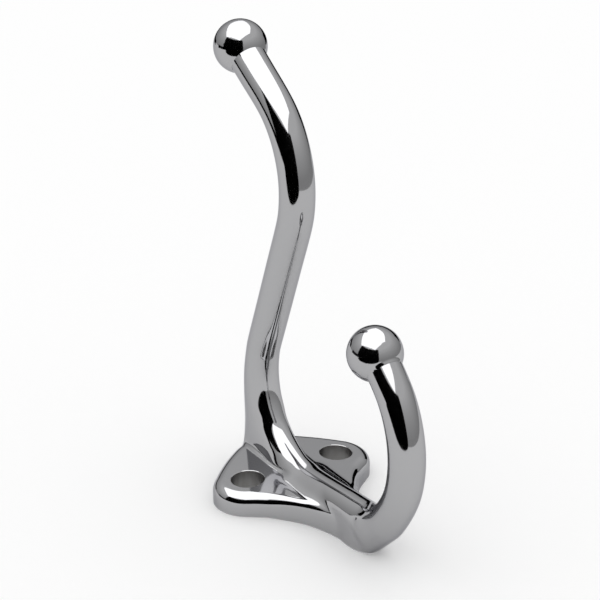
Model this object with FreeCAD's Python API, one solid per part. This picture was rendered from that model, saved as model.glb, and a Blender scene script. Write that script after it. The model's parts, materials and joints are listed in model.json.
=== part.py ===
import FreeCAD, Part
import math
import os

V = FreeCAD.Vector

# Double robe hook, one chromed die casting, drawn as it hangs on a wall. Millimetres.
# X runs along the two screw holes, Y points into the wall, Z points up.
# Y = 0 is the wall; the origin lies midway between the holes.

# Round bar
BAR_D = 5.28            # diameter of the bent bar
UPPER_NECK_D = 5.5      # diameter to which the upper arm swells at its ball
BALL_D = 8.02           # diameter of the ball on each tip

# Path of the bar's axis, all in the plane X = 0
AXIS_TO_WALL = 2.85     # closest distance from the bar's axis to the wall
CREST_Z = 8.83          # height of the axis where the upper arm is level
ROOT_BEND_R = 13.6      # bend from the upper arm down onto the plate
ARM_SLOPE = 22.5        # upper arm drops at this angle, degrees
ARM_STRAIGHT = 22.7     # straight length of the sloping arm
ROOT_LEAD = 3.0         # last part of that length, drawn with the root
TIP_BEND_R = 15.0       # bend that turns the arm up to its tip
TIP_BEND_TURN = 79.5    # angle of that bend, degrees
TIP_STRAIGHT = 10.4     # straight length from that bend to the ball's centre
RIDGE_LEAN = 6.0        # ridge on the plate leans off the wall, degrees
RIDGE_STRAIGHT = 14.2   # straight length of the ridge
CHIN_BEND_R = 9.6       # tight bend under the plate
CHIN_BEND_TURN = 43.5   # angle of that bend, degrees
LOWER_BEND_R = 15.4     # wider bend of the lower hook
LOWER_BEND_TURN = 102.0  # angle of that bend up to the ball's centre, degrees

# Backing of the bar towards the wall
HEEL_TOP_Z = 12.3       # level top edge of the root
CHIN_BACK = 3.6         # backing behind the bar where the ridge ends
CHIN_ANGLE = 64.0       # that backing dies away over this angle of the lower bends, degrees

# Winged back plate
PLATE_T = 3.8           # thickness on the centre line
PLATE_DRAFT = 2.0       # front faces fall away to each side, degrees
HOLE_PITCH = 15.875     # distance between the screw holes
HOLE_D = 5.1            # screw hole diameter
LOBE_R = 5.35           # outline radius about each hole
BROW_R = 38.0           # convex upper edge of each wing
BROW_END_X = 1.3        # that edge runs into the heel as far as here
BROW_END_Z = 11.95
SCALLOP_R = 18.5        # concave lower edge of each wing
TAIL_HALF = 2.35        # the scallops would run level with this half width, inside the ridge
EDGE_R = 1.7            # rounding of the wings' front edges
BLEND_R = 0.9           # fillet between bar and plate
RIM_BREAK = 0.15        # small bevel on the screw holes' front rims

BAR_R = BAR_D / 2
SLOPE = math.radians(ARM_SLOPE)
ROOT_TURN = ARM_SLOPE + 90 + RIDGE_LEAN
ROOT_Y = -(AXIS_TO_WALL + ROOT_BEND_R)
ROOT_Z = CREST_Z - ROOT_BEND_R
BACK_STEPS = 8
WALL_OVERRUN = 6.0      # sections run this far past the wall before they are trimmed


def heading(angle):
    """Unit vector in the plane X = 0; 0 points into the wall, 90 points up."""
    return V(0, math.cos(math.radians(angle)), math.sin(math.radians(angle)))


def section(centre, angle, back):
    """Closed section square to the path: half round in front, stretched by `back` behind."""
    outward = heading(angle + 90)
    side = V(BAR_R, 0, 0)
    front = Part.Arc(centre - side, centre - outward * BAR_R, centre + side).toShape()
    if back < 0.001:
        rear = Part.Arc(centre + side, centre + outward * BAR_R, centre - side)
        return Part.Wire([front, rear.toShape()])
    power = 2 + back / 3
    points = []
    for i in range(BACK_STEPS + 1):
        a = math.pi * i / BACK_STEPS
        x = math.cos(a)
        b = math.sin(a)
        scale = (abs(x) ** power + b ** power) ** (-1 / power)
        points.append(centre + side * (x * scale) + outward * ((BAR_R + back) * b * scale))
    knots = [i / BACK_STEPS for i in range(BACK_STEPS + 1)]
    rear = Part.BSplineCurve()
    rear.interpolate(Points=points, Parameters=knots, InitialTangent=outward, FinalTangent=outward * -1)
    return Part.Wire([front, rear.toShape()])


def bend(start, angle, radius, turn, steps):
    """Point, heading and angle turned at even steps of a right-hand bend, after its start."""
    centre = start - heading(angle + 90) * radius
    turns = [turn * i / steps for i in range(1, steps + 1)]
    return [(centre + heading(angle + 90 - t) * radius, angle - t, t) for t in turns]


def heel_back(t):
    """How far the root reaches behind a round section, t degrees into its bend.

    The heel's top edge leaves the sloping arm on an arc and runs level into the wall.
    """
    psi = math.radians(t) - SLOPE
    arm_top_y = ROOT_Y - (ROOT_BEND_R + BAR_R) * math.sin(SLOPE)
    arm_top_z = ROOT_Z + (ROOT_BEND_R + BAR_R) * math.cos(SLOPE)
    heel_r = (HEEL_TOP_Z - arm_top_z) / (1 - math.cos(SLOPE))
    rise = HEEL_TOP_Z - ROOT_Z
    if psi > 0 and ROOT_Y + rise * math.tan(psi) > arm_top_y + heel_r * math.sin(SLOPE):
        reach = rise / math.cos(psi)
    else:
        shift = heel_r - ROOT_BEND_R - BAR_R
        turned = psi + SLOPE
        reach = math.sqrt(heel_r ** 2 - (shift * math.sin(turned)) ** 2) - shift * math.cos(turned)
    if psi > 0:
        reach = min(reach, (WALL_OVERRUN - ROOT_Y) / math.sin(psi))
    return reach - ROOT_BEND_R - BAR_R


def chin_back(t):
    """The same for the lower bends, t degrees on from the ridge."""
    gap = math.radians(max(CHIN_ANGLE - t, 0))
    return CHIN_BACK * (1 / math.cos(gap) - 1) / (1 / math.cos(math.radians(CHIN_ANGLE)) - 1)


def bent_bar(start, angle, radius, turn):
    """Round bar bent to the right by `turn` degrees; a negative radius bends to the left."""
    centre = start - heading(angle + 90) * radius
    disc = Part.Face(section(start, angle, 0))
    way = V(-1, 0, 0) if radius > 0 else V(1, 0, 0)
    return disc.revolve(centre, way, turn)


def root():
    """Skin from the sloping arm over the root and down the ridge into the lower bend."""
    start = V(0, ROOT_Y, ROOT_Z) + heading(90 + ARM_SLOPE) * ROOT_BEND_R
    rows = [(start - heading(ARM_SLOPE) * ROOT_LEAD, ARM_SLOPE, 0), (start, ARM_SLOPE, 0)]
    for point, angle, t in bend(start, ARM_SLOPE, ROOT_BEND_R, ROOT_TURN, 13):
        rows.append((point, angle, heel_back(t)))
    ridge, angle, ridge_back = rows[-1]
    for f in (0.35, 0.7, 1):
        point = ridge + heading(angle) * (RIDGE_STRAIGHT * f)
        rows.append((point, angle, ridge_back + (CHIN_BACK - ridge_back) * f))
    for point, turned, t in bend(rows[-1][0], angle, CHIN_BEND_R, CHIN_BEND_TURN, 4):
        rows.append((point, turned, chin_back(t)))
    point, angle, _ = rows[-1]
    for point, turned, t in bend(point, angle, LOWER_BEND_R, CHIN_ANGLE - CHIN_BEND_TURN, 3):
        rows.append((point, turned, chin_back(CHIN_BEND_TURN + t)))
    skin = Part.makeLoft([section(*row) for row in rows], True, False)
    return skin, rows[0][0], rows[-1]


def upper_arm(end):
    """Sloping arm, its upward bend and the swelling neck with its ball."""
    start = end - heading(ARM_SLOPE) * (ARM_STRAIGHT - ROOT_LEAD)
    arm = Part.makeCylinder(BAR_R, ARM_STRAIGHT - ROOT_LEAD, start, heading(ARM_SLOPE))
    angle = ARM_SLOPE + 180
    tip_bend = bent_bar(start, angle, TIP_BEND_R, TIP_BEND_TURN)
    neck, angle, _ = bend(start, angle, TIP_BEND_R, TIP_BEND_TURN, 1)[0]
    taper = Part.makeCone(BAR_R, UPPER_NECK_D / 2, TIP_STRAIGHT, neck, heading(angle))
    ball = Part.makeSphere(BALL_D / 2, neck + heading(angle) * TIP_STRAIGHT, heading(angle))
    return [arm, tip_bend, taper, ball]


def lower_hook(start, angle):
    """Rest of the lower bend with its ball."""
    turn = LOWER_BEND_TURN + CHIN_BEND_TURN - CHIN_ANGLE
    hook = bent_bar(start, angle, LOWER_BEND_R, turn)
    tip, angle, _ = bend(start, angle, LOWER_BEND_R, turn, 1)[0]
    return [hook, Part.makeSphere(BALL_D / 2, tip, heading(angle))]


def bar():
    """The whole bent bar from ball to ball, trimmed at the wall."""
    skin, upper, lower = root()
    body = skin.fuse(upper_arm(upper) + lower_hook(lower[0], lower[1]))
    reach = 4 * ROOT_BEND_R
    return body.cut(Part.makeBox(reach, reach, 2 * reach, V(-reach / 2, 0, -reach)))


def meet(c1, r1, c2, r2):
    """Crossing of two circles in the plane Y = 0, the one to the right of c1 to c2."""
    line = c2 - c1
    d = line.Length
    along = (d * d + r1 * r1 - r2 * r2) / (2 * d)
    across = math.sqrt(r1 * r1 - along * along)
    unit = line / d
    return c1 + unit * along + V(unit.z, 0, -unit.x) * across


def wing():
    """Right half of the winged plate: drafted front face and rounded front edge."""
    hole = V(HOLE_PITCH / 2, 0, 0)
    heel = V(BROW_END_X, 0, BROW_END_Z)
    brow_c = meet(heel, BROW_R, hole, BROW_R - LOBE_R)
    brow_end = brow_c + (hole - brow_c) * (BROW_R / (BROW_R - LOBE_R))
    brow_mid = brow_c + ((heel + brow_end) * 0.5 - brow_c).normalize() * BROW_R
    far = TAIL_HALF + SCALLOP_R
    reach = SCALLOP_R + LOBE_R
    scallop_c = V(far, 0, -math.sqrt(reach ** 2 - (far - hole.x) ** 2))
    lobe_end = hole + (scallop_c - hole) * (LOBE_R / reach)
    tail_x = (TAIL_HALF + BAR_R) / 2
    tail = V(tail_x, 0, scallop_c.z + math.sqrt(SCALLOP_R ** 2 - (far - tail_x) ** 2))
    scallop_mid = scallop_c + ((lobe_end + tail) * 0.5 - scallop_c).normalize() * SCALLOP_R
    outline = [
        Part.Arc(heel, brow_mid, brow_end).toShape(),
        Part.Arc(brow_end, hole + V(LOBE_R, 0, 0), lobe_end).toShape(),
        Part.Arc(lobe_end, scallop_mid, tail).toShape(),
        Part.makePolygon([tail, V(0, 0, tail.z), V(0, 0, heel.z), heel]),
    ]
    blank = Part.Face(Part.Wire(outline)).extrude(V(0, -2 * PLATE_T, 0))
    wide = HOLE_PITCH + LOBE_R
    fall = wide * math.tan(math.radians(PLATE_DRAFT))
    slab = [V(-1, 0, 0), V(-1, -PLATE_T, 0), V(0, -PLATE_T, 0), V(wide, fall - PLATE_T, 0), V(wide, 0, 0)]
    gable = Part.Face(Part.makePolygon(slab + slab[:1])).extrude(V(0, 0, 4 * wide))
    gable.translate(V(0, 0, -2 * wide))
    blank = blank.common(gable)
    lobe = [e for e in blank.Edges if e.BoundBox.XMin > hole.x and e.BoundBox.YMax < -PLATE_T / 2]
    return blank.makeFillet(EDGE_R, lobe)


def blend_edges(shape):
    """Edges where the bar's flanks meet the wings, from the heel down to the tail."""
    chain = []
    for edge in shape.Edges:
        box = edge.BoundBox
        near = max(abs(box.XMin), abs(box.XMax)) < BAR_D and edge.Length < ROOT_BEND_R
        if near and -1.1 * PLATE_T < box.YMin < -0.1 * PLATE_T:
            chain.append(edge)
    return chain


def screw_hole(x):
    """Cutter for one screw hole with its bevelled front rim."""
    radius = HOLE_D / 2
    rim_y = -PLATE_T + abs(x) * math.tan(math.radians(PLATE_DRAFT))
    shaft = Part.makeCylinder(radius, 2 * PLATE_T, V(x, PLATE_T, 0), V(0, -1, 0))
    deep = V(x, rim_y + RIM_BREAK, 0)
    mouth = Part.makeCone(radius, radius + 2 * RIM_BREAK, 2 * RIM_BREAK, deep, V(0, -1, 0))
    return shaft.fuse(mouth)


def cast_body():
    """Bar and wings run together in one casting, blended, with its two screw holes."""
    right = wing()
    left = right.mirror(V(0, 0, 0), V(1, 0, 0))
    body = bar().fuse([right, left]).removeSplitter()
    body = body.makeFillet(BLEND_R, blend_edges(body))
    return body.cut([screw_hole(x) for x in (-HOLE_PITCH / 2, HOLE_PITCH / 2)])


os.makedirs("parts", exist_ok=True)
hook_body = cast_body()
hook_body.exportStep("parts/hook_body.step")
print("hook_body", hook_body.isValid(), len(hook_body.Solids), round(hook_body.Volume, 1))
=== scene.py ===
# %% [markdown]
# # A chromed double robe hook
# The real hook is one zinc casting: a round bar, bent into a long upper arm and a short lower
# hook, flows into a small winged plate with two screw holes. It is polished and chromed all over.
# The measured CAD part could be shown as it is, but a mirror finish shows every facet. So this
# lesson grows a smooth subdivision skin in its place, and then gives it the finish, the camera and
# the light of a catalogue picture.

# %% Load the measured part
import json
import math

import bmesh
import bpy
from mathutils import Matrix, Vector
from mathutils.bvhtree import BVHTree


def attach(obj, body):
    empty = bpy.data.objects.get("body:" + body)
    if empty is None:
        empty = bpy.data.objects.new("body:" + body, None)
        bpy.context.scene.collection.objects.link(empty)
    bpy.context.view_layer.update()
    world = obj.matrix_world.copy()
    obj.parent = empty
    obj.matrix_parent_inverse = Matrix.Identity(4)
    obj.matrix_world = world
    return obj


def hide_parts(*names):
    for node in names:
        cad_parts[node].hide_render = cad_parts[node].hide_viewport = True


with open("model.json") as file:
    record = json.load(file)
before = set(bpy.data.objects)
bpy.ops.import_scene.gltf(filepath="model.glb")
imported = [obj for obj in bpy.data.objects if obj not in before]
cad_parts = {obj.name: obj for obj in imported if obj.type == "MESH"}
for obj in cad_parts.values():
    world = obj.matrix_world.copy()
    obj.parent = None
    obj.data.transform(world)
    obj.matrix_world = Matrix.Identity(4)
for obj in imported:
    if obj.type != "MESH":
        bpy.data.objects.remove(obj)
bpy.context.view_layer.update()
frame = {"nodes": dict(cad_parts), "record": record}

# %% [markdown]
# ## The bent bar
# Arm, root, ridge and lower hook are one round bar in several bends. A curve with a round profile
# would make the bar alone, but the plate could not flow out of it. So the mesh is grown as a smith
# bends a rod: a ring of twelve corners is extruded along the straight runs and spun round the bends.
# Every new ring is kept in a list, with its corners in the same order, because the plate is pulled
# out of those rings afterwards.
# Everything is in metres. X runs along the screw holes, Y points into the wall and Z points up,
# with the wall at Y = 0. The bar's axis stays in the plane X = 0, so a heading in that plane is one
# angle: 0 points into the wall and 90 points up.

# %% The first ring
BAR_R = 0.00264
RING = 12
ARM_START = Vector((0, -0.042626, -0.000892))
ARM_SLOPE = 22.5
ANGLE_SLACK = 0.01
casting = bmesh.new()


def heading(angle):
    """Unit vector in the plane X = 0."""
    return Vector((0, math.cos(math.radians(angle)), math.sin(math.radians(angle))))


along, across = heading(ARM_SLOPE), heading(ARM_SLOPE + 90)


def round_the_ring(v):
    """Angle of a corner of the first ring, counted from the front of the bar."""
    angle = math.atan2((v.co - ARM_START).dot(across), v.co.x)
    return (angle + math.pi / 2 + ANGLE_SLACK) % math.tau


turned = Matrix(((1, 0, 0), across, along)).transposed().to_4x4()
circle = bmesh.ops.create_circle(
    casting, radius=BAR_R, segments=RING, matrix=Matrix.Translation(ARM_START) @ turned
)["verts"]
first = sorted(circle, key=round_the_ring)
print("first ring:", len(first), "corners, radius in mm:", BAR_R * 1000)

# %% Straight runs
ARM_LENGTH, ARM_STEPS = 0.0227, 4


def points_in(geom):
    return [g for g in geom if isinstance(g, bmesh.types.BMVert)]


def counterparts(old, new):
    """The vertex that was pulled out of each old one."""
    fresh = set(new)
    return [next(e.other_vert(v) for e in v.link_edges if e.other_vert(v) in fresh) for v in old]


def ring_edges(ring):
    return [casting.edges.get(pair) for pair in zip(ring, ring[1:] + ring[:1])]


def straight(ring, angle, length, steps):
    """Rings made by extruding along a heading."""
    made = []
    for _ in range(steps):
        fresh = points_in(bmesh.ops.extrude_edge_only(casting, edges=ring_edges(ring))["geom"])
        bmesh.ops.translate(casting, verts=fresh, vec=heading(angle) * (length / steps))
        ring = counterparts(ring, fresh)
        made.append(ring)
    return made


arm = straight(first, ARM_SLOPE, ARM_LENGTH, ARM_STEPS)
print("rings along the upper arm:", len(arm))

# %% Bends
ROOT_BEND_R, ROOT_TURN, ROOT_STEPS = 0.0136, 118.5, 13
RIDGE_LENGTH, RIDGE_STEPS = 0.0142, 5
CHIN_BEND_R, CHIN_TURNS = 0.0096, (9.0, 11.5, 11.5, 11.5)


def middle(ring):
    return sum((v.co for v in ring), Vector()) / len(ring)


def bend(ring, angle, radius, turns):
    """Rings made by spinning to the right, one for each turn in degrees."""
    made = []
    centre = middle(ring) - heading(angle + 90) * radius
    for turn in turns:
        swing = -math.radians(turn)
        spun = bmesh.ops.spin(
            casting, geom=ring_edges(ring), cent=centre, axis=(1, 0, 0), angle=swing, steps=1
        )
        ring = counterparts(ring, points_in(spun["geom_last"]))
        made.append(ring)
    return made


root = bend(arm[-1], ARM_SLOPE, ROOT_BEND_R, [ROOT_TURN / ROOT_STEPS] * ROOT_STEPS)
ridge_heading = ARM_SLOPE - ROOT_TURN
ridge = straight(root[-1], ridge_heading, RIDGE_LENGTH, RIDGE_STEPS)
chin = bend(ridge[-1], ridge_heading, CHIN_BEND_R, CHIN_TURNS)
print("rings in root, ridge and chin:", len(root), len(ridge), len(chin))

# %% [markdown]
# ## The two tips
# Each tip ends in a ball that was cast with the bar. A separate sphere stuck onto the bar would leave
# hidden faces inside, so the neck ring simply opens out over the ball. The rings stand at even steps
# round the ball, and its pole is closed with quads instead of a fan, because a fan of triangles
# pinches a mirror. The edge where bar and ball meet is sharp: a crease keeps it so.

# %% Open a ring out over a ball
BALL_R = 0.004
BALL_RINGS = 6
SHARP = 1.0
crease = casting.edges.layers.float.new("crease_edge")


def sharpen(edges):
    """Keeps edges sharp through the subdivision and in the shading."""
    for edge in edges:
        edge[crease] = SHARP
        edge.smooth = False


def ball(neck, centre, axis):
    """Opens a neck ring out over a ball and closes it at the far pole."""
    sharpen(ring_edges(neck))
    spokes = [(v.co - centre) for v in neck]
    spokes = [(s - axis * s.dot(axis)).normalized() for s in spokes]
    start = math.pi - math.acos(max(-1, min(1, (middle(neck) - centre).length / BALL_R)))
    ring = neck
    for i in range(1, BALL_RINGS + 1):
        polar = start * (1 - i / (BALL_RINGS + 1))
        ring = straight(ring, 0, 0, 1)[0]
        for v, spoke in zip(ring, spokes):
            v.co = centre + (axis * math.cos(polar) + spoke * math.sin(polar)) * BALL_R
    cap = bmesh.ops.contextual_create(casting, geom=ring_edges(ring))["faces"]
    pole = bmesh.ops.poke(casting, faces=cap)["verts"][0]
    pole.co = centre + axis * BALL_R
    extra = [casting.edges.get((pole, v)) for v in ring[::2]]
    bmesh.ops.dissolve_edges(casting, edges=extra)


print("rings on each ball:", BALL_RINGS)

# %% The upper tip
TIP_BEND_R, TIP_TURN, TIP_STEPS = 0.015, 79.5, 6
TIP_LENGTH = 0.0104
NECK_R = 0.00275
NECK_SHARES = (0.5, 1.0)
tip = bend(first, ARM_SLOPE + 180, TIP_BEND_R, [TIP_TURN / TIP_STEPS] * TIP_STEPS)
tip_heading = ARM_SLOPE + 180 - TIP_TURN
tip_ball = middle(tip[-1]) + heading(tip_heading) * TIP_LENGTH
neck_run = TIP_LENGTH - math.sqrt(BALL_R ** 2 - NECK_R ** 2)
neck = straight(tip[-1], tip_heading, neck_run, len(NECK_SHARES))
for ring, share in zip(neck, NECK_SHARES):
    swell = 1 + (NECK_R / BAR_R - 1) * share * neck_run / TIP_LENGTH
    centre = middle(ring)
    for v in ring:
        v.co = centre + (v.co - centre) * swell
balls = [(tip_ball, heading(tip_heading))]
ball(neck[-1], *balls[0])
print("upper ball's centre in mm:", [round(c * 1000, 2) for c in tip_ball])

# %% The lower hook
LOWER_BEND_R, LOWER_TURN, LOWER_STEPS = 0.0154, 102.0, 6
neck_drop = math.sqrt(BALL_R ** 2 - BAR_R ** 2)
neck_turn = LOWER_TURN - math.degrees(2 * math.asin(neck_drop / 2 / LOWER_BEND_R))
chin_heading = ridge_heading - sum(CHIN_TURNS)
hook = bend(chin[-1], chin_heading, LOWER_BEND_R, [neck_turn / LOWER_STEPS] * LOWER_STEPS)
hook_centre = middle(chin[-1]) - heading(chin_heading + 90) * LOWER_BEND_R
ball_side = heading(chin_heading + 90 - LOWER_TURN)
hook_ball = hook_centre + ball_side * LOWER_BEND_R
balls.append((hook_ball, (hook_ball - middle(hook[-1])).normalized()))
ball(hook[-1], *balls[1])
print("lower ball's centre in mm:", [round(c * 1000, 2) for c in hook_ball])

# %% [markdown]
# ## The heel and the ridge
# Towards the wall the casting is not round: the root swells back into a heel with a level top, and
# the ridge below it is backed all the way to the wall. A second solid could be joined on, but the
# mirror would show the seam. So the back half of each ring moves instead. The rear corner is found
# by a ray from the bar's axis to the CAD skin, and the flank corners are spread evenly from the
# front of the bar to the level where the plate will start.

# %% Places on a ring
ROWS = ("front", "upper", "flank", "waist", "plate", "wall", "back")
FLANK, PLATE, WALL, BACK = (ROWS.index(row) for row in ("flank", "plate", "wall", "back"))
SIDES = (1, -1)


def corner(ring, side, row):
    """The ring's vertex on one side (1 is +X) in a row counted from front to back."""
    return ring[row if side > 0 else (RING - row) % RING]


def spread_flank(ring, side, centre, outward, plate_corner):
    """Places the flank corners evenly between the front of the bar and the plate's corner."""
    waist = centre + Vector((side * BAR_R, 0, 0))
    quarter = BAR_R * math.pi / 2
    lift = (plate_corner - centre).dot(outward)
    reach = (plate_corner - waist).length
    length = quarter + reach if lift > 0 else BAR_R * math.acos(min(1, -lift / BAR_R))
    for row in range(1, PLATE):
        s = length * row / PLATE
        if s < quarter:
            a = s / BAR_R
            spot = centre + Vector((side * BAR_R * math.sin(a), 0, 0))
            spot -= outward * (BAR_R * math.cos(a))
        else:
            spot = waist + (plate_corner - waist) * ((s - quarter) / reach)
        corner(ring, side, row).co = spot
    corner(ring, side, PLATE).co = plate_corner


print("rows on each side of a ring:", ", ".join(ROWS))

# %% A section that closes in a rounded crown
CROWN_FILL = 0.003
CROWN_TURN = math.radians(60)
cad_mesh = frame["nodes"]["hook_body"].data
skin = BVHTree.FromPolygons(
    [v.co for v in cad_mesh.vertices], [p.vertices for p in cad_mesh.polygons]
)
rings = root + ridge + chin
axis_of = {ring[0]: middle(ring) for ring in rings}


def crown(ring, outward):
    """Swells a section to the back, the deeper the squarer."""
    centre = axis_of[ring[0]]
    rear = skin.ray_cast(centre, outward)[0]
    depth = (rear - centre).length
    power = 2 + (depth - BAR_R) / CROWN_FILL
    x, b = math.cos(CROWN_TURN), math.sin(CROWN_TURN)
    scale = (x ** power + b ** power) ** (-1 / power)
    rise = depth / 2
    wide = BAR_R * (1 - (rise / depth) ** power) ** (1 / power)
    for side in SIDES:
        flank_end = centre + Vector((side * wide, 0, 0)) + outward * rise
        spread_flank(ring, side, centre, outward, flank_end)
        shoulder = centre + Vector((side * BAR_R * x * scale, 0, 0))
        corner(ring, side, WALL).co = shoulder + outward * (depth * b * scale)
    ring[BACK].co = rear


print("triangles in the CAD skin:", len(cad_mesh.polygons))

# %% A section that stands on the wall
PLATE_T = 0.0038
PLATE_DRAFT = math.tan(math.radians(2.0))
RAY_START, RAY_DEPTH = 0.0005, -0.0003


def plate_front(x):
    """Y of the plate's front face, which falls away a little to each side."""
    return abs(x) * PLATE_DRAFT - PLATE_T


def edge_x(z):
    """Half width of the plate at a height, measured just in front of the wall."""
    return skin.ray_cast(Vector((RAY_START, RAY_DEPTH, z)), Vector((1, 0, 0)))[0].x


def footing(ring, outward, level, top):
    """Stands a section on the wall, with its plate corner at a given height."""
    centre = axis_of[ring[0]]
    y = plate_front(BAR_R)
    wide = math.sqrt(BAR_R ** 2 - max(0, centre.y - y) ** 2)
    for side in SIDES:
        spread_flank(ring, side, centre, outward, Vector((side * wide, y, level)))
        corner(ring, side, WALL).co = (side * min(BAR_R, edge_x(level)), 0, level)
    ring[BACK].co = (0, 0, top)


print("plate's face beside the bar in mm:", round(plate_front(BAR_R) * 1000, 3))

# %% Stretch the rings back to the wall
HEEL_TOP = 0.0123
BROW_ROOT, TAIL_ROOT = 0.0109, -0.0175
BROW_RING = 6
TAIL_RING = ROOT_STEPS + RIDGE_STEPS - 2
turns = [ROOT_TURN * (i + 1) / ROOT_STEPS for i in range(ROOT_STEPS)] + [ROOT_TURN] * RIDGE_STEPS
turns += [ROOT_TURN + sum(CHIN_TURNS[: i + 1]) for i in range(len(CHIN_TURNS))]
levels = {}
for i, (ring, turn) in enumerate(zip(rings, turns)):
    outward = heading(ARM_SLOPE + 90 - turn)
    if BROW_RING <= i <= TAIL_RING:
        share = (i - BROW_RING) / (TAIL_RING - BROW_RING)
        levels[i] = BROW_ROOT + (TAIL_ROOT - BROW_ROOT) * share
        footing(ring, outward, levels[i], HEEL_TOP if i == BROW_RING else levels[i])
    elif i == TAIL_RING + 1:
        footing(ring, outward, axis_of[ring[0]].z, axis_of[ring[0]].z)
    else:
        crown(ring, outward)
print("rows of the plate's root in mm:", [round(z * 1000, 1) for z in levels.values()])

# %% The heel's top corners and the toe
CROWN_CORNER = Vector((0.0021, 0, 0.01175))
TOE_HALF = 0.00145
TOE_DEPTH = RAY_DEPTH / 3
TOE_RING = TAIL_RING + 2


def toe_z(x):
    """Lowest point of the flat back at a distance from the middle."""
    return skin.ray_cast(Vector((x, TOE_DEPTH, TAIL_ROOT)), Vector((0, 0, -1)))[0].z


for side in SIDES:
    corner(rings[BROW_RING], side, WALL).co = Vector((side, 1, 1)) * CROWN_CORNER
    corner(rings[TOE_RING], side, WALL).co = (side * TOE_HALF, 0, toe_z(TOE_HALF))
rings[TOE_RING][BACK].co = (0, 0, toe_z(0))
print("the flat back ends below at z in mm:", round(toe_z(0) * 1000, 2))

# %% [markdown]
# ## The wings of the plate
# On each side a thin wing carries a screw hole. It could be a flat outline with thickness, joined
# to the bar by a boolean, but the join would be a hard line. So each wing is pulled out of the bar's
# flank, as the metal flows in the mould: the strip of faces between the plate's level and the wall
# is extruded seven times. Its corners are then laid in a patch between four edges: the bar, the
# convex brow, the round lobe and the concave scallop. The brow and the scallop are read from the CAD
# skin with level rays, just in front of the wall. The hole's place comes from the record's own mount.

# %% Edges of a wing
screw_mount = next(m for m in frame["record"]["mounts"] if m["name"] == "screw_holes")
HOLE_X = screw_mount["dims"]["spacing_x_mm"] / 2000
LOBE_R = 0.005347
LOBE_TOP, LOBE_END = 41.4, -57.2


def lobe(share):
    """Point on the round end of the wing, from the brow down to the scallop."""
    a = math.radians(LOBE_TOP + (LOBE_END - LOBE_TOP) * share)
    return Vector((HOLE_X + LOBE_R * math.cos(a), LOBE_R * math.sin(a)))


def side_edge(z_from, corner_spot, u):
    """Point on the brow or the scallop, from the bar out to the lobe."""
    if u == 0 or u == 1:
        return corner_spot if u else Vector((BAR_R, z_from))
    z = z_from + (corner_spot.y - z_from) * u
    return Vector((max(edge_x(z), BAR_R), z))


def patch(u, v):
    """Spot in the wing, u from bar to lobe and v from brow to scallop."""
    brow = side_edge(BROW_ROOT, lobe(0), u)
    scallop = side_edge(TAIL_ROOT, lobe(1), u)
    bar_spot = Vector((BAR_R, BROW_ROOT + (TAIL_ROOT - BROW_ROOT) * v))
    near = Vector((BAR_R, BROW_ROOT)).lerp(Vector((BAR_R, TAIL_ROOT)), v)
    far = lobe(0).lerp(lobe(1), v)
    return bar_spot.lerp(lobe(v), u) + brow.lerp(scallop, v) - near.lerp(far, u)


wing_end = HOLE_X + LOBE_R
print("screw hole at x in mm:", HOLE_X * 1000, "and the wing's end:", round(wing_end * 1000, 3))

# %% Pull out the wings
COLUMNS = (0.07, 0.16, 0.345, 0.56, 0.79, 0.9, 1.0)
wing_rings = rings[BROW_RING : TAIL_RING + 1]
wings = {}
for side in SIDES:
    fronts = [corner(r, side, PLATE) for r in wing_rings]
    backs = [corner(r, side, WALL) for r in wing_rings]
    strip = [casting.faces.get(q) for q in zip(fronts, fronts[1:], backs[1:], backs)]
    grid = []
    for u in COLUMNS:
        geom = bmesh.ops.extrude_face_region(casting, geom=strip)["geom"]
        bmesh.ops.delete(casting, geom=strip, context="FACES")
        strip = [g for g in geom if isinstance(g, bmesh.types.BMFace)]
        fronts = counterparts(fronts, points_in(geom))
        backs = counterparts(backs, points_in(geom))
        for i, (f, b) in enumerate(zip(fronts, backs)):
            spot = patch(u, i / (len(fronts) - 1))
            f.co = (side * spot.x, plate_front(spot.x), spot.y)
            b.co = (side * spot.x, 0, spot.y)
        grid.append((fronts, backs))
    wings[side] = grid
    rim = list(zip(*grid[-1]))
    rim += [(fronts[i], backs[i]) for fronts, backs in grid[:-1] for i in (0, -1)]
    halfway = [bmesh.utils.edge_split(casting.edges.get(pair), pair[0], 0.5)[1] for pair in rim]
    bmesh.ops.connect_verts(casting, verts=halfway)
print("wing patch:", len(wing_rings) - 1, "by", len(COLUMNS), "faces on each side")

# %% [markdown]
# ## The screw holes
# Each wing has one plain hole, drilled straight through. A boolean would cut it, but it leaves long
# thin faces that shade badly. The patch has one vertex close to each hole's centre. Taking it away
# leaves a ring of eight corners, which are set on a circle, front and back, and bridged. The front
# rim is broken a little, as polishing leaves it.

# %% Open the screw holes
HOLE_R = screw_mount["dims"]["hole_r_mm"] / 1000
RIM_BREAK = 0.00008
HOLE_ROW, HOLE_COLUMN = 4, 3
NEIGHBOURS = ((0, 1), (-1, 1), (-1, 0), (-1, -1), (0, -1), (1, -1), (1, 0), (1, 1))


def hole_corner(side, i, radius):
    """X and Z of a corner on a circle round a screw hole's axis."""
    a = math.tau * i / len(NEIGHBOURS)
    return side * (HOLE_X + radius * math.cos(a)), radius * math.sin(a)


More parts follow.
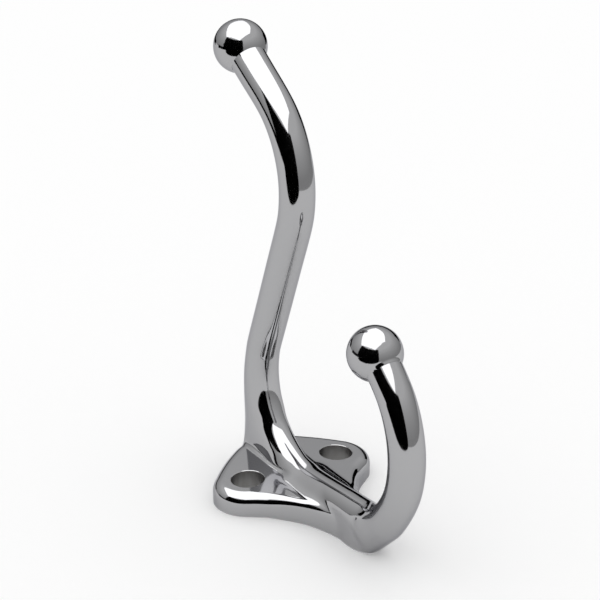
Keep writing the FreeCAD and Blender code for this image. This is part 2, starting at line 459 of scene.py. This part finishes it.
for side in SIDES:
    loops = []
    for face in (0, 1):
        middle_vert = wings[side][HOLE_COLUMN][face][HOLE_ROW]
        loop = [wings[side][HOLE_COLUMN + dc][face][HOLE_ROW + dr] for dr, dc in NEIGHBOURS]
        for i, v in enumerate(loop):
            x, z = hole_corner(side, i, HOLE_R if face else HOLE_R + RIM_BREAK)
            v.co = (x, 0 if face else plate_front(x), z)
        bmesh.ops.delete(casting, geom=[middle_vert], context="VERTS")
        loops.append(loop)
    front, back = loops
    throat = straight(front, 0, RIM_BREAK, 1)[0]
    for i, v in enumerate(throat):
        v.co.x, v.co.z = hole_corner(side, i, HOLE_R)
    bmesh.ops.bridge_loops(casting, edges=ring_edges(throat) + ring_edges(back))
    for loop in (front, throat, back):
        sharpen(ring_edges(loop))
open_edges = [e for e in casting.edges if len(e.link_faces) != 2]
print("cage:", len(casting.verts), "corners,", len(casting.faces), "faces,",
      len(open_edges), "open edges")

# %% [markdown]
# ## Fit the smooth skin
# Subdivision pulls a surface inside its cage, so the casting would come out too thin. A Shrinkwrap
# modifier could lay it on the CAD part, but it would also take over the CAD's facets. The cage was
# built with its corners on the real surface, so each corner is pushed out by the distance that its
# smooth point fell short, a few times over, until the smooth skin runs through the wanted places. The
# corners near the plate first move onto the CAD skin, which holds the rounded edges and the
# blend between bar and plate.

# %% Crease the flat back and seat the plate's corners on the CAD skin
FLAT = 1e-6
FACING = 0.9993
TOP_ROWS, LEDGE_ROWS, LEDGE_COLUMNS = 2, 3, 2
for edge in casting.edges:
    resting = [all(v.co.y > -FLAT for v in f.verts) for f in edge.link_faces]
    if len(resting) == 2 and resting[0] != resting[1]:
        sharpen([edge])
bmesh.ops.recalc_face_normals(casting, faces=casting.faces)
sharp_corners = {v for e in casting.edges if e[crease] == SHARP for v in e.verts}
flank_rows = range(FLANK, PLATE + 1)
blended = {corner(r, s, row) for r in rings[: TOE_RING + 1] for s in SIDES for row in flank_rows}
blended |= {v for s in SIDES for fronts, _ in wings[s] for v in fronts if v.is_valid}
flat_front = {v for v in sharp_corners if abs(v.co.y - plate_front(v.co.x)) < FLAT}
flat_front |= {v for s in SIDES for v in wings[s][0][0][TOP_ROWS:-LEDGE_ROWS]}
ledge = {v for s in SIDES for fronts, _ in wings[s][:LEDGE_COLUMNS] for v in fronts[-LEDGE_ROWS:]}
for v in blended - sharp_corners - flat_front - ledge:
    v.co, facing_way, _, _ = skin.find_nearest(v.co)
    if facing_way.y < -FACING:
        flat_front.add(v)
casting.verts.index_update()
wanted = [v.co.copy() for v in casting.verts]
on_front = [v.index for v in flat_front]
on_ledge = {v.index for v in ledge}
on_wall = [v.index for v in casting.verts if v.co.y > -FLAT]
print("corners kept in the plate's face:", len(on_front), "and on the wall:", len(on_wall))

# %% Push the cage out until the skin fits
FIT_PASSES, PASSES_TOLD = 12, 4
mesh = bpy.data.meshes.new("hook_casting")
casting.to_mesh(mesh)
casting.free()
hook_piece = bpy.data.objects.new("hook_casting", mesh)
bpy.context.scene.collection.objects.link(hook_piece)
smooth_skin = hook_piece.modifiers.new("smooth skin", "SUBSURF")
smooth_skin.levels = smooth_skin.render_levels = 1
for attempt in range(FIT_PASSES):
    graph = bpy.context.evaluated_depsgraph_get()
    fitted = hook_piece.evaluated_get(graph).to_mesh()
    misses = [spot - fitted.vertices[i].co for i, spot in enumerate(wanted)]
    worst = max(m.length for i, m in enumerate(misses) if i not in on_ledge)
    for v, miss in zip(mesh.vertices, misses):
        if v.index not in on_ledge:
            v.co += miss
    for i in on_front:
        mesh.vertices[i].co.y = plate_front(mesh.vertices[i].co.x)
    for i in on_wall:
        mesh.vertices[i].co.y = 0
    hook_piece.evaluated_get(graph).to_mesh_clear()
    mesh.update()
    if attempt % PASSES_TOLD == 0:
        print("fit", attempt, "worst miss in mm:", round(worst * 1000, 4))

# %% Keep the smooth mesh
SKIN_LEVELS = 3
smooth_skin.levels = smooth_skin.render_levels = SKIN_LEVELS
graph = bpy.context.evaluated_depsgraph_get()
cage_mesh = mesh
mesh = bpy.data.meshes.new_from_object(hook_piece.evaluated_get(graph))
mesh.name = "hook_casting"
hook_piece.modifiers.clear()
hook_piece.data = mesh
bpy.data.meshes.remove(cage_mesh)
buffed = bmesh.new()
buffed.from_mesh(mesh)
gaps = sorted(skin.find_nearest(v.co)[3] * 1000 for v in buffed.verts)
print("points:", len(gaps), "triangles:", sum(len(f.verts) - 2 for f in buffed.faces))
print("skin to CAD in mm: 95 %", round(gaps[-len(gaps) // 20], 3), "worst", round(gaps[-1], 3))

# %% [markdown]
# ## True up the wings
# A mirror shows errors of a few hundredths of a millimetre. A finer cage would come closer, but
# would ripple, so the plain shapes are made exact instead. The wing's outline is three arcs: brow,
# lobe and scallop. A point's distance from it tells whether the point belongs on the flat face, on
# the rounded edge or on the side wall, and it moves there, less and less towards the bar. In between,
# the points are evened out, so that none fold over each other.

# %% Outline of a wing
BROW_R, SCALLOP_R = 0.038, 0.0185


def on_bearing(angle):
    """Unit vector in the plane of the plate."""
    return Vector((math.cos(math.radians(angle)), math.sin(math.radians(angle))))


hole_spot = Vector((HOLE_X, 0))
brow_centre = hole_spot - on_bearing(LOBE_TOP) * (BROW_R - LOBE_R)
scallop_centre = hole_spot + on_bearing(LOBE_END) * (LOBE_R + SCALLOP_R)


def inset(spot):
    """Distance from the outline into the wing, and the way in."""
    off = spot - hole_spot
    if LOBE_END < math.degrees(math.atan2(off.y, off.x)) < LOBE_TOP:
        return LOBE_R - off.length, -off.normalized()
    brow = spot - brow_centre
    scallop = spot - scallop_centre
    from_brow = BROW_R - brow.length, -brow.normalized()
    from_scallop = scallop.length - SCALLOP_R, scallop.normalized()
    return min(from_brow, from_scallop, key=lambda way: way[0])


print("from the outline to the screw hole's axis in mm:", round(inset(hole_spot)[0] * 1000, 3))

# %% Exact place on a wing
EDGE_R = 0.0017
EDGE_TIGHTER, TIGHT_WIDE, TIGHT_HIGH = 0.55, 0.005, 0.006
WING_FROM, WING_FULL = 0.003, 0.004


def limit(share):
    return min(1, max(0, share))


def edge_radius(spot):
    """Rounding of the wing's edge, which tightens along the scallop towards the tail."""
    near_bar = limit(1 - (spot.x - WING_FROM) / TIGHT_WIDE)
    below = limit(-spot.y / TIGHT_HIGH)
    return EDGE_R * (1 - EDGE_TIGHTER * near_bar * below)


def beside_wing(co):
    """A point's spot over the plate, its inset, the way in, the edge's radius and the face's Y."""
    spot = Vector((abs(co.x), co.z))
    deep, way_in = inset(spot)
    r = edge_radius(spot)
    return spot, deep, way_in, r, plate_front(spot.x + way_in.x * (max(deep, r) - deep))


def true_wing(co):
    """Nearest place on the exact face, rounded edge or side wall of a wing."""
    spot, deep, way_in, r, face = beside_wing(co)
    low = co.y - face
    if deep >= r:
        low_new, deep_new = 0, deep
    elif low >= r:
        low_new, deep_new = low, 0
    else:
        arc = Vector((deep - r, low - r)).normalized() * r
        deep_new, low_new = r + arc.x, r + arc.y
    spot += way_in * (deep_new - deep)
    return Vector((math.copysign(spot.x, co.x), face + low_new, spot.y))


print("edge radius in mm, at the lobe:", edge_radius(lobe(0)) * 1000,
      "and at the tail:", round(edge_radius(Vector((WING_FROM, TAIL_ROOT))) * 1000, 3))

# %% Even out and true up
WING_BACK = -0.005
HOLE_CLEAR = HOLE_R * 1.05
RELAX_PASSES = 14


def on_wing(v):
    """True for a point on the front or the side of a wing, outside its screw hole."""
    off_axis = (Vector((abs(v.co.x), v.co.z)) - hole_spot).length
    in_front = WING_BACK < v.co.y < -FLAT
    return abs(v.co.x) > WING_FROM and in_front and off_axis > HOLE_CLEAR


def smooth_step(share):
    """Goes from 0 to 1 without a corner at either end."""
    share = limit(share)
    return share * share * (3 - 2 * share)


def even_out(points):
    """Averages points with their neighbours."""
    bmesh.ops.smooth_vert(
        buffed, verts=points, factor=0.5, use_axis_x=True, use_axis_y=True, use_axis_z=True
    )


wing_points = [v for v in buffed.verts if on_wing(v)]
loose = [v for v in wing_points if abs(v.co.x) > WING_FULL]
for times in range(RELAX_PASSES):
    for _ in range(times):
        even_out(loose)
    for v in wing_points:
        share = smooth_step((abs(v.co.x) - WING_FROM) / (WING_FULL - WING_FROM))
        v.co = v.co.lerp(true_wing(v.co), share)
print("wing points trued:", len(wing_points))

# %% [markdown]
# ## The saddle between ridge and wings
# Below the heel the ridge does not stand on the wings with a sharp line: the metal swings out of one
# into the other in a soft saddle. A bevel along the line would be one width all the way, but the real
# saddle runs out towards the tail. Both shapes are plain enough to say how far outside of each a
# point lies. A smooth union of the two distances is zero on one surface that joins them, and each
# point is walked down the slope of that union until it lies there.

# %% Distance from the ridge and from a wing
ridge_start = axis_of[root[-1][0]]
ridge_way = heading(ridge_heading)
to_wall = heading(ridge_heading + 90)
root_centre = ridge_start - to_wall * ROOT_BEND_R


def ridge_gap(co):
    """Distance outside the ridge, which is round in front and has straight flanks to the wall."""
    in_plane = Vector((0, co.y, co.z))
    if (in_plane - root_centre).dot(ridge_way) < 0:
        deep = (in_plane - root_centre).length - ROOT_BEND_R
    else:
        deep = (in_plane - ridge_start).dot(to_wall)
    return math.hypot(co.x, min(deep, 0)) - BAR_R


def wing_gap(co):
    """Distance outside a wing with its rounded edge."""
    _, deep, _, r, face = beside_wing(co)
    a, b = r - deep, r - (co.y - face)
    return math.hypot(max(a, 0), max(b, 0)) + min(max(a, b), 0) - r


print("the ridge starts at y, z in mm:", [round(c * 1000, 2) for c in ridge_start.yz])

# %% Smooth union of ridge and wing
SADDLE, SADDLE_LEAST = 0.0022, 0.06
SADDLE_DEEP, SADDLE_RUN = 0.0016, 0.008
SADDLE_END = -0.0175


def saddle_width(co):
    """Width of the blend, which runs out down the side wall and towards the tail."""
    low = co.y - plate_front(co.x)
    above_wall = 1 - smooth_step(low / SADDLE_DEEP)
    above_tail = smooth_step((co.z - SADDLE_END) / SADDLE_RUN)
    return SADDLE * max(SADDLE_LEAST, above_wall * above_tail)


def saddle_gap(co):
    """Distance outside ridge and wing, blended where they come close to each other."""
    ridge_off, wing_off = ridge_gap(co), wing_gap(co)
    width = saddle_width(co)
    mix = limit(0.5 + 0.5 * (ridge_off - wing_off) / width)
    return ridge_off + (wing_off - ridge_off) * mix - width * mix * (1 - mix)


beside_bar = Vector((BAR_R, plate_front(BAR_R), SADDLE_END / 2))
print("width of the saddle halfway down in mm:", round(saddle_width(beside_bar) * 1000, 2))

# %% Walk the points onto the saddle
SADDLE_TOP, SADDLE_FULL, SADDLE_FADE = -0.0005, -0.004, 0.002
SADDLE_LIFT, LIFT_FADE = 1.6 * SADDLE, 0.5 * SADDLE
WALK_STEPS, SLOPE_STEP, SLOPE_LEAST = 3, 1e-5, 0.1
PROBES = [Vector(axis) * SLOPE_STEP for axis in Matrix.Identity(3)]


def on_saddle(co):
    """Walks a point down the slope of the union."""
    spot = co.copy()
    for _ in range(WALK_STEPS):
        gap = saddle_gap(spot)
        slope = Vector([saddle_gap(spot + probe) - gap for probe in PROBES]) / SLOPE_STEP
        spot -= slope * (gap / max(slope.length_squared, SLOPE_LEAST))
    return spot


walked, farthest = 0, 0
for v in buffed.verts:
    lift = plate_front(v.co.x) - v.co.y
    in_reach = abs(v.co.x) < BAR_R + SADDLE and lift < SADDLE_LIFT and v.co.y <= -FLAT
    if not (SADDLE_END < v.co.z < SADDLE_TOP and in_reach):
        continue
    share = smooth_step((v.co.z - SADDLE_TOP) / (SADDLE_FULL - SADDLE_TOP))
    share *= smooth_step((v.co.z - SADDLE_END) / SADDLE_FADE)
    share *= smooth_step((SADDLE_LIFT - lift) / LIFT_FADE)
    spot = v.co.lerp(on_saddle(v.co), share)
    farthest = max(farthest, (spot - v.co).length)
    v.co = spot
    walked += 1
print("points walked onto the saddle:", walked, "farthest in mm:", round(farthest * 1000, 2))

# %% [markdown]
# ## True balls and a flat back
# The balls are round enough to show a whole room in small, and subdivision makes them only nearly
# round. New spheres would not join the bar's rings, so each point of a ball moves along its own
# ray from the centre, out to the true radius. The plate's back lies flat on the wall, so nothing
# passes it.

# %% True up the balls and the back
BALL_REACH = BALL_R * 1.1
trued = 0
for centre, axis in balls:
    for v in buffed.verts:
        off = v.co - centre
        if off.length < BALL_REACH and off.dot(axis) > -neck_drop:
            v.co = centre + off.normalized() * BALL_R
            trued += 1
for v in buffed.verts:
    v.co.y = min(v.co.y, 0)
print("ball points trued:", trued)

# %% [markdown]
# ## Buffing
# On the real hook a buffing wheel evens out the swollen root and the corners where the wings run into
# the bar. Smoothing the whole mesh would wear the plain shapes too. So the points of each such place
# are averaged with their neighbours a number of times, over a reach that shrinks, so that no
# border shows.

# %% Buff the root and the corners
ROOT_FACING, ROOT_OUT, ROOT_BACK = 45, 0.003, -PLATE_T - BAR_R / 3
ROOT_REACH, ROOT_PASSES = 0.0135, 30
RIDGE_REACH, RIDGE_PASSES = 0.0042, 40
PLATE_BUFFS = ((TAIL_ROOT, 0.0042, 18), (BROW_ROOT, 0.0022, 16), (0.001, 0.0027, 24))


def buff(spot, reach, passes, back=RAY_DEPTH):
    """Averages the points round a spot, at last only those in the inner half of its reach."""
    near = [(v, (v.co - spot).length) for v in buffed.verts if v.co.y < back]
    near = [(v, off) for v, off in near if off < reach]
    for i in range(passes):
        even_out([v for v, off in near if off < reach * (1 - 0.5 * i / passes)])
    return len(near)


root_front = axis_of[root[ROOT_STEPS // 2][0]] - heading(ROOT_FACING) * ROOT_OUT
ridge_end = axis_of[ridge[-1][0]] - to_wall * BAR_R
worn = [buff(root_front, ROOT_REACH, ROOT_PASSES, ROOT_BACK)]
worn.append(buff(ridge_end, RIDGE_REACH, RIDGE_PASSES))
for side in SIDES:
    for z, reach, passes in PLATE_BUFFS:
        worn.append(buff(Vector((side * BAR_R, plate_front(BAR_R), z)), reach, passes))
print("points buffed at the root, at the ridge's end and along each side of the ridge:", worn)

# %% [markdown]
# ## In the measured part's place
# The finished skin stands for the whole casting. A copy of the measured part could stay hidden
# inside, but it would only be in the way, so the skin takes its place: it rides on the part's one
# body, and the measured part is hidden. The faces are shaded smooth, and the creased edges stay sharp.

# %% Hand the casting over
buffed.to_mesh(mesh)
buffed.free()
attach(hook_piece, "root")
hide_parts("hook_body")
for face in mesh.polygons:
    face.use_smooth = True
print("casting:", len(mesh.vertices), "points,", len(mesh.polygons), "faces")

# %% [markdown]
# ## Polished chrome
# Chrome is a thin bright plating over the polished casting. One grey metal with one roughness would
# make it, but would look too clean. What makes it look real is what a buffing wheel leaves: slow
# waves in the mirror and faint changes of gloss, both from noise in the part's own coordinates. The
# plating inside the holes and on the hidden back was never buffed, so there it stays dull.

# %% Chrome material
EDGE_TINT = (0.62, 0.62, 0.64, 1)
chrome = bpy.data.materials.new("polished_chrome")
chrome.use_nodes = True
nodes, links = chrome.node_tree.nodes, chrome.node_tree.links
shader = nodes["Principled BSDF"]
shader.inputs["Metallic"].default_value = 1.0
shader.inputs["Specular Tint"].default_value = EDGE_TINT
place = nodes.new("ShaderNodeTexCoord").outputs["Object"]
mesh.materials.append(chrome)
print("material on the casting:", mesh.materials[0].name)

# %% Where the buffing wheel never reached
DULL_HOLE_R = HOLE_R + RIM_BREAK / 4
DULL_BACK = -2e-5


def math_node(tree, operation, *values):
    """A maths node fed with sockets or plain numbers."""
    node = tree.nodes.new("ShaderNodeMath")
    node.operation = operation
    for socket, value in zip(node.inputs, values):
        if isinstance(value, bpy.types.NodeSocket):
            tree.links.new(value, socket)
        else:
            socket.default_value = value
    return node.outputs[0]


axes = nodes.new("ShaderNodeSeparateXYZ")
links.new(place, axes.inputs["Vector"])
side_off = math_node(chrome.node_tree, "ABSOLUTE", axes.outputs["X"])
hole_off = math_node(chrome.node_tree, "SUBTRACT", side_off, HOLE_X)
squares = [math_node(chrome.node_tree, "POWER", off, 2.0) for off in (hole_off, axes.outputs["Z"])]
off_hole = math_node(chrome.node_tree, "SQRT", math_node(chrome.node_tree, "ADD", *squares))
in_hole = math_node(chrome.node_tree, "LESS_THAN", off_hole, DULL_HOLE_R)
on_back = math_node(chrome.node_tree, "GREATER_THAN", axes.outputs["Y"], DULL_BACK)
dull = math_node(chrome.node_tree, "MAXIMUM", in_hole, on_back)
print("dull within", round(DULL_HOLE_R * 1000, 3), "mm of each hole's axis and on the back")

# %% Gloss
EVEN, STREAKED = (1, 1, 1), (1, 0.12, 1)
MOTTLE_SCALE, MOTTLE_DETAIL, MOTTLE_RANGE = 420, 4, (0.3, 0.7)
MIRROR_ROUGHNESS = (0.05, 0.085)
STREAK_SCALE, STREAK_DETAIL = 1500, 3
DULL_ROUGHNESS, DULL_SPREAD = 0.18, 0.3


def noise(stretch, scale, detail):
    """Noise in the part's own coordinates, stretched along the axes."""
    mapping = nodes.new("ShaderNodeMapping")
    mapping.inputs["Scale"].default_value = stretch
    links.new(place, mapping.inputs["Vector"])
    made = nodes.new("ShaderNodeTexNoise")
    made.inputs["Scale"].default_value = scale
    made.inputs["Detail"].default_value = detail
    links.new(mapping.outputs["Vector"], made.inputs["Vector"])
    return made.outputs["Fac"]


def set_range(node, *limits):
    """Sets the four limits of a Map Range node."""
    for name, value in zip(("From Min", "From Max", "To Min", "To Max"), limits):
        node.inputs[name].default_value = value


gloss = nodes.new("ShaderNodeMapRange")
links.new(noise(EVEN, MOTTLE_SCALE, MOTTLE_DETAIL), gloss.inputs["Value"])
set_range(gloss, *MOTTLE_RANGE, *MIRROR_ROUGHNESS)
streaks = noise(STREAKED, STREAK_SCALE, STREAK_DETAIL)
spread = math_node(chrome.node_tree, "MULTIPLY", streaks, DULL_SPREAD)
dull_gloss = math_node(chrome.node_tree, "ADD", spread, DULL_ROUGHNESS)
roughness = nodes.new("ShaderNodeMix")
links.new(dull, roughness.inputs["Factor"])
links.new(gloss.outputs["Result"], roughness.inputs["A"])
links.new(dull_gloss, roughness.inputs["B"])
links.new(roughness.outputs["Result"], shader.inputs["Roughness"])
print("roughness of the mirror:", MIRROR_ROUGHNESS)

# %% Colour and slow waves
CHROME = (0.405, 0.405, 0.413, 1)
BARE = (0.30, 0.29, 0.275, 1)
COLOUR_A, COLOUR_B, COLOUR_OUT = 6, 7, 2
WAVE_SCALE, WAVE_DETAIL, WAVE_HIGH = 260, 1, 0.00001
colour = nodes.new("ShaderNodeMix")
colour.data_type = "RGBA"
links.new(math_node(chrome.node_tree, "MULTIPLY", dull, streaks), colour.inputs["Factor"])
colour.inputs[COLOUR_A].default_value = CHROME
colour.inputs[COLOUR_B].default_value = BARE
links.new(colour.outputs[COLOUR_OUT], shader.inputs["Base Color"])

waves = nodes.new("ShaderNodeBump")
waves.inputs["Strength"].default_value = 1.0
waves.inputs["Distance"].default_value = WAVE_HIGH
links.new(noise(EVEN, WAVE_SCALE, WAVE_DETAIL), waves.inputs["Height"])
links.new(waves.outputs["Normal"], shader.inputs["Normal"])
print("nodes in the chrome:", len(nodes))

# %% [markdown]
# ## The camera
# The picture is taken with a long lens from below and from one side, so that the whole hook and the
# face of the plate are seen. A camera could be aimed with a Track To constraint, but that leaves its
# roll open. Its place and its turn were fitted to the screw holes, the balls and the bar, so they
# are written down as a spot, the way back from the picture and the way up in it.

# %% Camera
CAMERA_SPOT = Vector((-0.119329, -0.130225, -0.197644))
CAMERA_BACK = Vector((-0.47964, -0.39409, -0.78399)).normalized()
CAMERA_UP = Vector((0.21187, -0.91905, 0.33236)).normalized()
camera = bpy.data.objects.new("camera", bpy.data.cameras.new("camera"))
camera.data.sensor_width = 36.0
camera.data.lens = 102.06
camera.data.clip_start = 0.01
camera_right = CAMERA_UP.cross(CAMERA_BACK)
view = Matrix((camera_right, CAMERA_UP, CAMERA_BACK)).transposed()
camera.matrix_world = Matrix.Translation(CAMERA_SPOT) @ view.to_4x4()
bpy.context.scene.collection.objects.link(camera)
bpy.context.scene.camera = camera
bpy.context.scene.view_settings.view_transform = "Standard"
print("camera", round(CAMERA_SPOT.length * 1000), "mm from the plate, lens in mm:",
      round(camera.data.lens, 2))

# %% [markdown]
# ## The room in the mirror
# Chrome shows its room more than itself, and lamps alone would leave it black. A photographed room
# could be wrapped round the hook, but a room of a few plain shapes can be moved until each
# reflection falls where it should. A round grey wall grows brighter with height. Low dark lips stand
# round the panel that the hook hangs on. A dark curtain hangs on one side, with its rounded foot on
# the panel, and a grey floor lies beyond the panel on the other side. All of it is seen in
# reflections only. In this room, up is away from the wall that the hook hangs on.

# %% Grey walls and dark cloth
ROOM_R, ROOM_HIGH = 2.0, 1.6
GREY_LOW, GREY_HIGH = 0.42, 0.85


def glow(name, colour, strength):
    """A material that only shines."""
    made = bpy.data.materials.new(name)
    made.use_nodes = True
    tree = made.node_tree
    tree.nodes.remove(tree.nodes["Principled BSDF"])
    lamp = tree.nodes.new("ShaderNodeEmission")
    lamp.inputs["Color"].default_value = (*colour, 1)
    lamp.inputs["Strength"].default_value = strength
    tree.links.new(lamp.outputs["Emission"], tree.nodes["Material Output"].inputs["Surface"])
    return made


def fade(material, low, high):
    """Makes a glow rise with the height over the panel, as light does on a studio wall."""
    tree = material.node_tree
    spot = tree.nodes.new("ShaderNodeNewGeometry")
    spot_axes = tree.nodes.new("ShaderNodeSeparateXYZ")
    ramp = tree.nodes.new("ShaderNodeMapRange")
    set_range(ramp, 0.0, -ROOM_HIGH, low, high)
    tree.links.new(spot.outputs["Position"], spot_axes.inputs["Vector"])
    tree.links.new(spot_axes.outputs["Y"], ramp.inputs["Value"])
    tree.links.new(ramp.outputs["Result"], tree.nodes["Emission"].inputs["Color"])


room_grey = glow("room_grey", (1, 1, 1), 1.0)
fade(room_grey, GREY_LOW, GREY_HIGH)
dark = glow("dark_cloth", (0, 0, 0), 0)
print("room materials:", room_grey.name, "and", dark.name)

# %% Round walls, lips and curtain
UP = Vector((0, -1, 0))
BAND_STEPS, BAND_STEP_TURN = 4, 6
LIPS = ((0.42, 0.13, 15, 68), (0.6, 0.085, 68, 112), (0.6, 0.085, 134, 180))
CURTAIN_R = ROOM_R * 0.95
CURTAIN_FROM, CURTAIN_TO = 163, 252


def set_piece(name, bm, material, mirrored_only=True):
    """Puts a bmesh on the set, by default only to be seen in reflections."""
    shape = bpy.data.meshes.new(name)
    bm.to_mesh(shape)
    bm.free()
    shape.materials.append(material)
    made = bpy.data.objects.new(name, shape)
    bpy.context.scene.collection.objects.link(made)
    if mirrored_only:
        made.visible_camera = made.visible_diffuse = made.visible_shadow = False
        made.visible_transmission = made.visible_volume_scatter = False
    return made


def ground_spot(bearing, reach):
    """Spot in the wall's plane, on a bearing in degrees."""
    return Vector((math.cos(math.radians(bearing)), 0, math.sin(math.radians(bearing)))) * reach


def wall_band(name, radius, high, start, end, material):
    """Part of a round wall that stands on the panel, between two bearings in degrees."""
    bm = bmesh.new()
    foot = ground_spot(start, radius)
    line = bm.edges.new([bm.verts.new(foot), bm.verts.new(foot + UP * high)])
    bmesh.ops.spin(
        bm, geom=[*line.verts, line], cent=(0, 0, 0), axis=UP, angle=math.radians(end - start),
        steps=max(BAND_STEPS, int(abs(end - start) / BAND_STEP_TURN)), use_merge=end - start == 360
    )
    return set_piece(name, bm, material)


wall_band("room_wall", ROOM_R, ROOM_HIGH, 0, 360, room_grey)
for lip_r, lip_high, lip_from, lip_to in LIPS:
    wall_band("panel_lip", lip_r, lip_high, lip_from, lip_to, dark)
curtain = wall_band("curtain", CURTAIN_R, ROOM_HIGH, CURTAIN_FROM, CURTAIN_TO, dark)
print("lips:", len(LIPS), "and faces in the curtain:", len(curtain.data.polygons))

# %% The curtain's foot and the grey floor
GROUND_LIFT, GROUND_STEPS = 0.0005, 24
FOOT_NEAR, FOOT_FROM = 0.115, 174
FLOOR_NEAR, FLOOR_TO = 0.25, 375


def ground(near, start, end):
    """The ground from a distance out to the room wall, between two bearings in degrees."""
    bm = bmesh.new()
    ends = [ground_spot(start, reach) + UP * GROUND_LIFT for reach in (near, ROOM_R)]
    line = bm.edges.new([bm.verts.new(spot) for spot in ends])
    bmesh.ops.spin(
        bm, geom=[line, *line.verts], cent=(0, 0, 0), axis=UP, angle=math.radians(end - start),
        steps=GROUND_STEPS
    )
    return bm


def round_nose(bm, near, start, end):
    """Moves the ground's near edge onto a circle that just touches both bearings."""
    half = math.sin(math.radians(end - start) / 2)
    centre_way = math.radians(start + end) / 2
    for v in bm.verts:
        if v.co.length < ROOM_R / 2:
            off = math.atan2(v.co.z, v.co.x) - centre_way
            reach = math.cos(off) - math.sqrt(max(0, half ** 2 - math.sin(off) ** 2))
            reach *= near / (1 - half)
            v.co.x, v.co.z = reach * math.cos(off + centre_way), reach * math.sin(off + centre_way)


foot = ground(FOOT_NEAR, FOOT_FROM, CURTAIN_TO)
round_nose(foot, FOOT_NEAR, FOOT_FROM, CURTAIN_TO)
set_piece("curtain_foot", foot, dark)
set_piece("room_floor", ground(FLOOR_NEAR, CURTAIN_TO, FLOOR_TO), room_grey)
print("curtain's foot from", FOOT_NEAR, "m and grey floor from", FLOOR_NEAR, "m")

# %% [markdown]
# ## Ceiling and softbox
# A softbox is a lamp behind a sheet of white cloth, and a studio hangs it over the part. An area lamp
# would give the light, but a mirror shows the lamp's outline too, and that is a plain rectangle.
# So the softbox is one glowing face with the outline that the chrome shows, under a ceiling that
# closes the room.

# %% Ceiling and softbox
CEILING_CORNERS = 48
SOFTBOX_HIGH, SOFTBOX_GLOW = 1.0, 2.6
SOFTBOX_CORNERS = (
    (0.05, 1.15), (0.85, 1.25), (0.74, 0.2), (0.5, -0.47), (-0.65, -1.0), (-1.2, 0.44), (-0.55, 0.75)
)


def lay_level(bm, high):
    """Turns a flat shape level with the panel and lifts it."""
    quarter = Matrix.Rotation(math.pi / 2, 3, "X")
    bmesh.ops.rotate(bm, verts=bm.verts, cent=(0, 0, 0), matrix=quarter)
    bmesh.ops.translate(bm, verts=bm.verts, vec=UP * high)


ceiling = bmesh.new()
bmesh.ops.create_circle(ceiling, cap_ends=True, radius=ROOM_R, segments=CEILING_CORNERS)
lay_level(ceiling, ROOM_HIGH)
set_piece("ceiling", ceiling, room_grey)
softbox = bmesh.new()
softbox.faces.new([softbox.verts.new((x, -SOFTBOX_HIGH, z)) for x, z in SOFTBOX_CORNERS])
set_piece("softbox", softbox, glow("softbox_white", (1, 1, 1), SOFTBOX_GLOW))
print("softbox with", len(SOFTBOX_CORNERS), "corners,", SOFTBOX_HIGH, "m out from the wall")

# %% [markdown]
# ## The wall panel
# The hook hangs on a wall, so the pale floor of the picture is a panel in the wall's plane, lit evenly
# by a white world. A plain white panel would hide the back of the plate in views from behind. So
# its material is clear from behind, and also for a reflection that starts on the back of the plate,
# a hair in front of it.

# %% Wall panel
PANEL_HALF = 3.0
PANEL_GAP = 0.00005
PANEL_CLEAR = 6 * PANEL_GAP
PALE = (0.99, 0.99, 0.99, 1)
panel = bmesh.new()
bmesh.ops.create_grid(panel, x_segments=1, y_segments=1, size=PANEL_HALF)
lay_level(panel, -PANEL_GAP)
pale = bpy.data.materials.new("pale_panel")
pale.use_nodes = True
tree = pale.node_tree
paint = tree.nodes["Principled BSDF"]
paint.inputs["Base Color"].default_value = PALE
paint.inputs["Roughness"].default_value = 1.0
paint.inputs["Specular IOR Level"].default_value = 0.0
clear = tree.nodes.new("ShaderNodeBsdfTransparent")
facing = tree.nodes.new("ShaderNodeNewGeometry")
rays = tree.nodes.new("ShaderNodeLightPath")
choose = tree.nodes.new("ShaderNodeMixShader")
close = math_node(tree, "LESS_THAN", rays.outputs["Ray Length"], PANEL_CLEAR)
mirrored = rays.outputs["Is Glossy Ray"]
see_through = math_node(tree, "MULTIPLY_ADD", close, mirrored, facing.outputs["Backfacing"])
tree.links.new(see_through, choose.inputs["Fac"])
tree.links.new(paint.outputs["BSDF"], choose.inputs[1])
tree.links.new(clear.outputs["BSDF"], choose.inputs[2])
tree.links.new(choose.outputs["Shader"], tree.nodes["Material Output"].inputs["Surface"])
set_piece("wall_panel", panel, pale, mirrored_only=False)
print("panel", PANEL_GAP * 1000, "mm behind the plate, clear from behind")

# %% White world
world = bpy.data.worlds.new("studio")
world.use_nodes = True
world.node_tree.nodes["Background"].inputs["Color"].default_value = (1, 1, 1, 1)
bpy.context.scene.world = world
print("world:", world.name)
